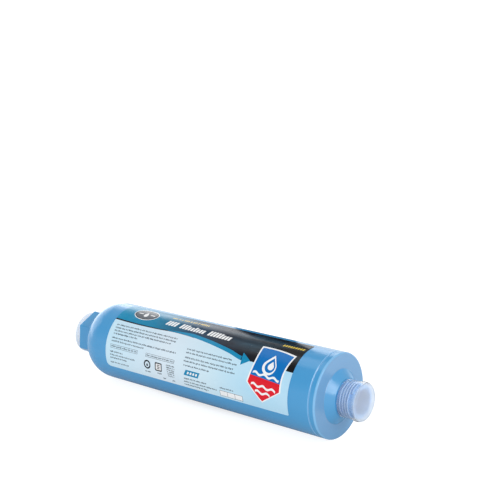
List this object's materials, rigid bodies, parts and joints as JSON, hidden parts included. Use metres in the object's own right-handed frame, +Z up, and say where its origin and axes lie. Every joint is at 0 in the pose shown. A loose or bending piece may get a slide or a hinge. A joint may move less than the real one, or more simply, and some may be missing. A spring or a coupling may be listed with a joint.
{
  "type": "inline water filter",
  "caption": "Inline hose water filter: round blue housing with a hexagonal female inlet, a male threaded outlet, a wrap label, an inner filter bed and push-on dust caps.",
  "frame": {"origin": "bottom centre of the bounding box: on the surface the filter lies on, under the middle of its length with both dust caps on", "axes": "+X along the barrel in the direction of flow, from the hexagonal inlet to the threaded outlet; +Z up; the label faces -Y and up"},
  "size_m": [0.2938, 0.0661, 0.0661],
  "materials": {
    "blue_plastic": "satin moulded",
    "printed_film": "gloss film",
    "washer_rubber": "matt",
    "white_plastic": "matt moulded",
    "white_felt": "needled felt",
    "metal_granules": "granular",
    "carbon_granules": "granular",
    "foam": "open-cell foam",
    "natural_plastic": "translucent soft plastic"
  },
  "bodies": {
    "filter_body": {"housing_shell": "blue_plastic", "outlet_end_cap": "blue_plastic", "wrap_label": "printed_film", "inlet_hose_washer": "washer_rubber", "inlet_support_plate": "white_plastic", "inlet_screen": "white_plastic", "inlet_felt_pad": "white_felt", "fine_media_bed": "metal_granules", "media_divider_pad": "white_felt", "carbon_media_bed": "carbon_granules", "outlet_felt_pad": "white_felt", "outlet_screen": "white_plastic", "outlet_support_plate": "white_plastic", "compression_foam_ring": "foam"},
    "inlet_plug": {"inlet_dust_plug": "natural_plastic"},
    "outlet_cap": {"outlet_dust_cap": "natural_plastic"}
  },
  "joints": [
    {"name": "inlet_plug_pull", "type": "slide", "parent": "filter_body", "child": "inlet_plug", "axis": [-1, 0, 0], "range_m": [0, 0.03]},
    {"name": "outlet_cap_pull", "type": "slide", "parent": "filter_body", "child": "outlet_cap", "axis": [1, 0, 0], "range_m": [0, 0.045]}
  ]
}
